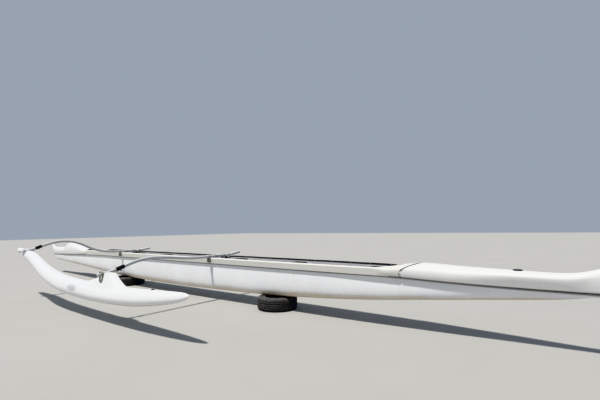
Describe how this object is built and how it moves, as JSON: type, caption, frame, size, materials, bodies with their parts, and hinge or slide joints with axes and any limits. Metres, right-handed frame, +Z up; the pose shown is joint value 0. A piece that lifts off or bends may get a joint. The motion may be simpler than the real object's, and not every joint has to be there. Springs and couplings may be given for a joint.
{
  "type": "six-seat outrigger canoe",
  "caption": "Long slender white canoe with an open cockpit, upturned ends, curved booms to a float on its port side, resting on old tyres laid flat.",
  "frame": {"origin": "middle of the bounding box at floor level", "axes": "+X towards the bow, +Y to port where the float is, +Z up"},
  "size_m": [13.2746, 2.6122, 1.063],
  "materials": {
    "hull_white": "glossy white fibreglass, dusty, tan grime along the bottom",
    "gunwale_cream": "off-white gelcoat, dulled by weather",
    "deck_white": "glossy white gelcoat",
    "edging_black": "black edging, matt",
    "bulkhead_grey": "pale grey resin",
    "seat_grey": "grey moulded resin",
    "thwart_black": "black padded cover",
    "boom_grey": "grey-white painted laminated wood, bare beige at the ends",
    "wrap_black": "black rubber wrapping",
    "spreader_wood": "varnished wood, worn",
    "ama_white": "glossy white fibreglass, dusty",
    "lashing_grey": "grey cord lashing",
    "fitting_black": "black cap",
    "tyre_rubber": "old tyre, dusty, worn tread"
  },
  "bodies": {
    "root": {"hull_shell": "hull_white", "gunwale_port": "gunwale_cream", "gunwale_starboard": "gunwale_cream", "edging_port": "edging_black", "edging_starboard": "edging_black", "bow_deck": "deck_white", "stern_deck": "deck_white", "stern_coaming": "gunwale_cream", "bulkhead_bow": "bulkhead_grey", "bulkhead_stern": "bulkhead_grey", "stern_thwart": "thwart_black", "boom_rear": "boom_grey", "boom_front": "boom_grey", "wrap_rear": "wrap_black", "wrap_front": "wrap_black", "spreader_rear": "spreader_wood", "spreader_front": "spreader_wood", "ama": "ama_white", "deck_fitting": "fitting_black", "tyre_rear": "tyre_rubber", "tyre_front": "tyre_rubber", "seat_1": "seat_grey", "seat_2": "seat_grey", "seat_3": "seat_grey", "seat_4": "seat_grey", "seat_5": "seat_grey", "seat_6": "seat_grey", "lash_front_port": "lashing_grey", "lash_front_starboard": "lashing_grey", "lash_ama_front_in": "lashing_grey", "lash_ama_front_out": "lashing_grey", "lash_rear_port": "lashing_grey", "lash_rear_starboard": "lashing_grey", "lash_ama_rear_in": "lashing_grey", "lash_ama_rear_out": "lashing_grey"}
  },
  "joints": []
}
